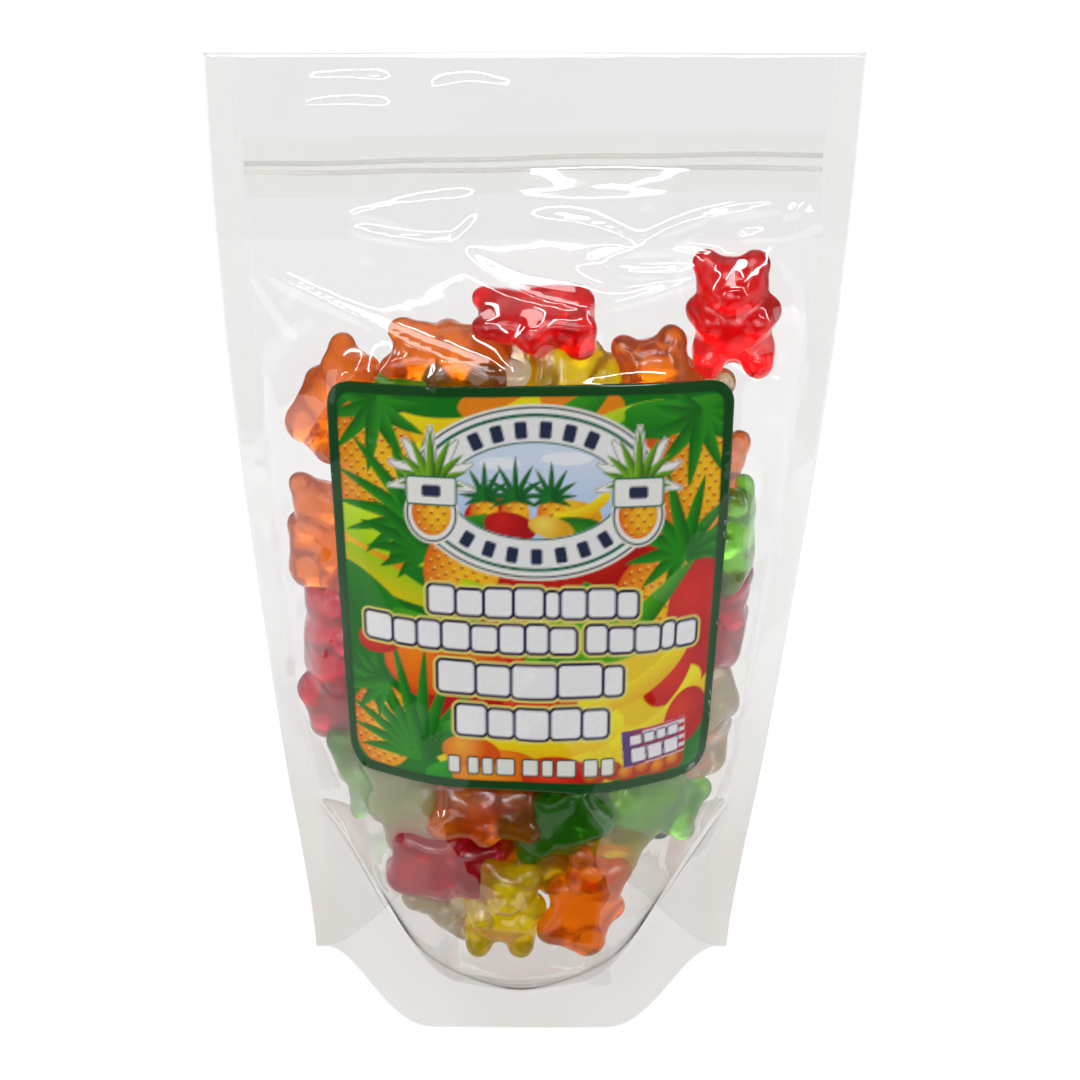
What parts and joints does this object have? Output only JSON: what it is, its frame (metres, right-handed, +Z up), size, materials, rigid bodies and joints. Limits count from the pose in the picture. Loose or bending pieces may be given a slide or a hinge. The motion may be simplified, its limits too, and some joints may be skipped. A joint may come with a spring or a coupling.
{
  "type": "bag of gummy bears",
  "caption": "Clear stand-up zip pouch, filled with gummy bears, sealed down both sides, with a zip strip near its top, a gusset base and a rounded label on its front.",
  "frame": {"origin": "middle of the base, on the surface the pouch stands on", "axes": "+Z up, -Y out of the label, +X to the right as the label is read"},
  "size_m": [0.12, 0.0554, 0.2],
  "materials": {
    "clear_film": "glossy clear laminate film",
    "zip_plastic": "satin clear polyethylene",
    "printed_label": "glossy printed paper",
    "gummy": "glossy translucent gelatine sweets"
  },
  "bodies": {
    "root": {"pouch": "clear_film", "zip_strip": "zip_plastic", "label": "printed_label"}
  },
  "joints": []
}
